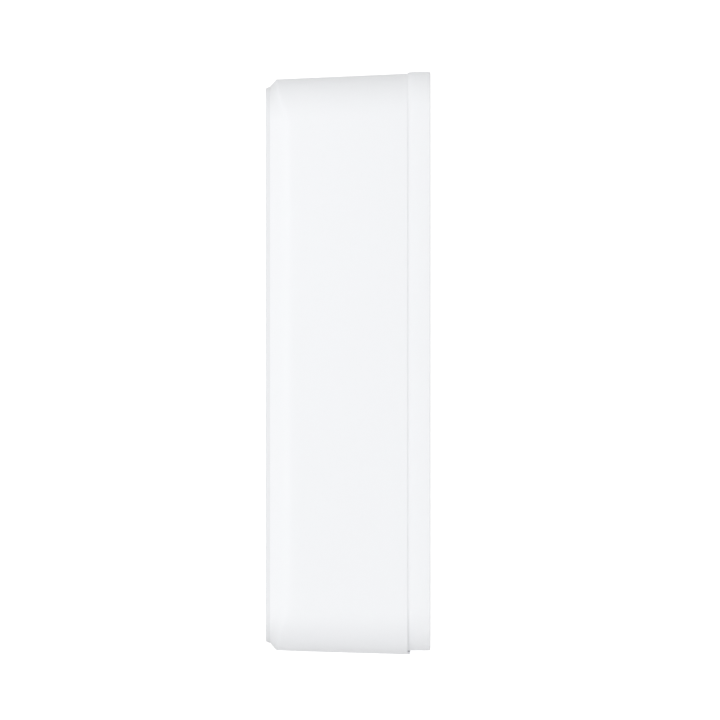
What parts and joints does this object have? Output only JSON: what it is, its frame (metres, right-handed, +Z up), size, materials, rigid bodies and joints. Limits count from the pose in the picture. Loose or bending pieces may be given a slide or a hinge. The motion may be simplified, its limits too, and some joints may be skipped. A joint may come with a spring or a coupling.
{
  "type": "video doorbell",
  "caption": "Slim wall-mounted video doorbell with a camera, a motion sensor and a lit call button; it tilts up off a screwed wall bracket.",
  "frame": {"origin": "centre of the wall bracket's back face, on the wall", "axes": "+Y into the wall, so the front faces -Y; +Z up; +X to the right of someone facing the doorbell"},
  "size_m": [0.05, 0.0388, 0.1373],
  "materials": {
    "white_plastic": "white moulded plastic with a fine satin texture",
    "bracket_plastic": "white moulded plastic, slightly rougher than the housing",
    "dark_lens": "near-black polished window",
    "clear_glass": "coated lens glass",
    "pir_plastic": "milky polyethylene sensor lens",
    "light_guide": "milky light guide",
    "black_plastic": "black moulded plastic",
    "circuit_board": "green solder mask on glass-fibre board",
    "tinned_steel": "nickel-plated steel",
    "brass": "plain brass",
    "rubber": "black silicone rubber",
    "white_rubber": "white silicone rubber",
    "cell_wrap": "blue shrink film",
    "foam": "dark closed-cell foam",
    "led": "small lamp with a clear dome",
    "copper_flex": "amber polyimide film"
  },
  "bodies": {
    "bracket": {"wall_bracket": "bracket_plastic"},
    "doorbell": {"main_housing": "white_plastic", "front_cover": "white_plastic", "rear_cover": "bracket_plastic", "camera_window": "dark_lens", "lens_glass": "clear_glass", "lens_barrel": "black_plastic", "lens_holder": "black_plastic", "image_sensor": "black_plastic", "camera_board": "circuit_board", "ir_board": "circuit_board", "ir_led_left": "led", "ir_led_right": "led", "light_sensor": "black_plastic", "pir_lens": "pir_plastic", "pir_sensor": "tinned_steel", "light_ring": "light_guide", "button_seal": "white_rubber", "tact_switch": "black_plastic", "ring_led_left": "led", "ring_led_right": "led", "microphone": "tinned_steel", "mic_seal": "rubber", "main_board": "circuit_board", "board_screw_1": "tinned_steel", "board_screw_2": "tinned_steel", "rf_shield": "tinned_steel", "antenna_board": "circuit_board", "antenna_cable": "black_plastic", "camera_ribbon": "copper_flex", "battery_cradle": "black_plastic", "battery_cell_left": "cell_wrap", "battery_cell_right": "cell_wrap", "battery_pad": "foam", "battery_cable": "cell_wrap", "speaker_unit": "black_plastic", "speaker_gasket": "foam", "speaker_mesh": "tinned_steel", "speaker_cable": "black_plastic", "usb_board": "circuit_board", "usb_port": "tinned_steel", "housing_seal": "rubber", "cover_screw_1": "tinned_steel", "cover_screw_2": "tinned_steel", "cover_screw_3": "tinned_steel", "cover_screw_4": "tinned_steel", "terminal_plate_left": "brass", "terminal_plate_right": "brass", "io_board": "circuit_board", "sync_switch": "black_plastic", "tamper_switch": "black_plastic"},
    "button": {"button_cap": "white_plastic", "switch_stem": "black_plastic"},
    "charging_flap": {"usb_cover": "white_rubber"},
    "pairing_button": {"sync_button": "rubber"},
    "tamper_plunger": {"tamper_plunger": "white_rubber"},
    "security_screw": {"security_screw": "tinned_steel"},
    "terminal_screw_left": {"terminal_screw_left": "brass"},
    "terminal_screw_right": {"terminal_screw_right": "brass"}
  },
  "joints": [
    {"name": "tilt_off_bracket", "type": "hinge", "parent": "bracket", "child": "doorbell", "pos_m": [0, -0.0051, 0.0678], "axis": [-1, 0, 0], "range_deg": [0, 25]},
    {"name": "call_button_press", "type": "slide", "parent": "doorbell", "child": "button", "axis": [0, 1, 0], "range_m": [0, 0.0008], "stiffness_N_per_m": 1500},
    {"name": "charging_flap_hinge", "type": "hinge", "parent": "doorbell", "child": "charging_flap", "pos_m": [0, -0.02145, -0.0685], "axis": [-1, 0, 0], "range_deg": [0, 110]},
    {"name": "pairing_button_press", "type": "slide", "parent": "doorbell", "child": "pairing_button", "axis": [0, -1, 0], "range_m": [0, 0.0004], "stiffness_N_per_m": 1500},
    {"name": "tamper_plunger_press", "type": "slide", "parent": "doorbell", "child": "tamper_plunger", "axis": [0, -1, 0], "range_m": [0, 0.0012], "stiffness_N_per_m": 400},
    {"name": "security_screw_drive", "type": "slide", "parent": "doorbell", "child": "security_screw", "axis": [0, 0, 1], "range_m": [0, 0.002]},
    {"name": "terminal_screw_left_turn", "type": "hinge", "parent": "doorbell", "child": "terminal_screw_left", "pos_m": [-0.006, -0.0058, -0.019], "axis": [0, 1, 0], "continuous": true},
    {"name": "terminal_screw_right_turn", "type": "hinge", "parent": "doorbell", "child": "terminal_screw_right", "pos_m": [0.006, -0.0058, -0.019], "axis": [0, 1, 0], "continuous": true}
  ]
}
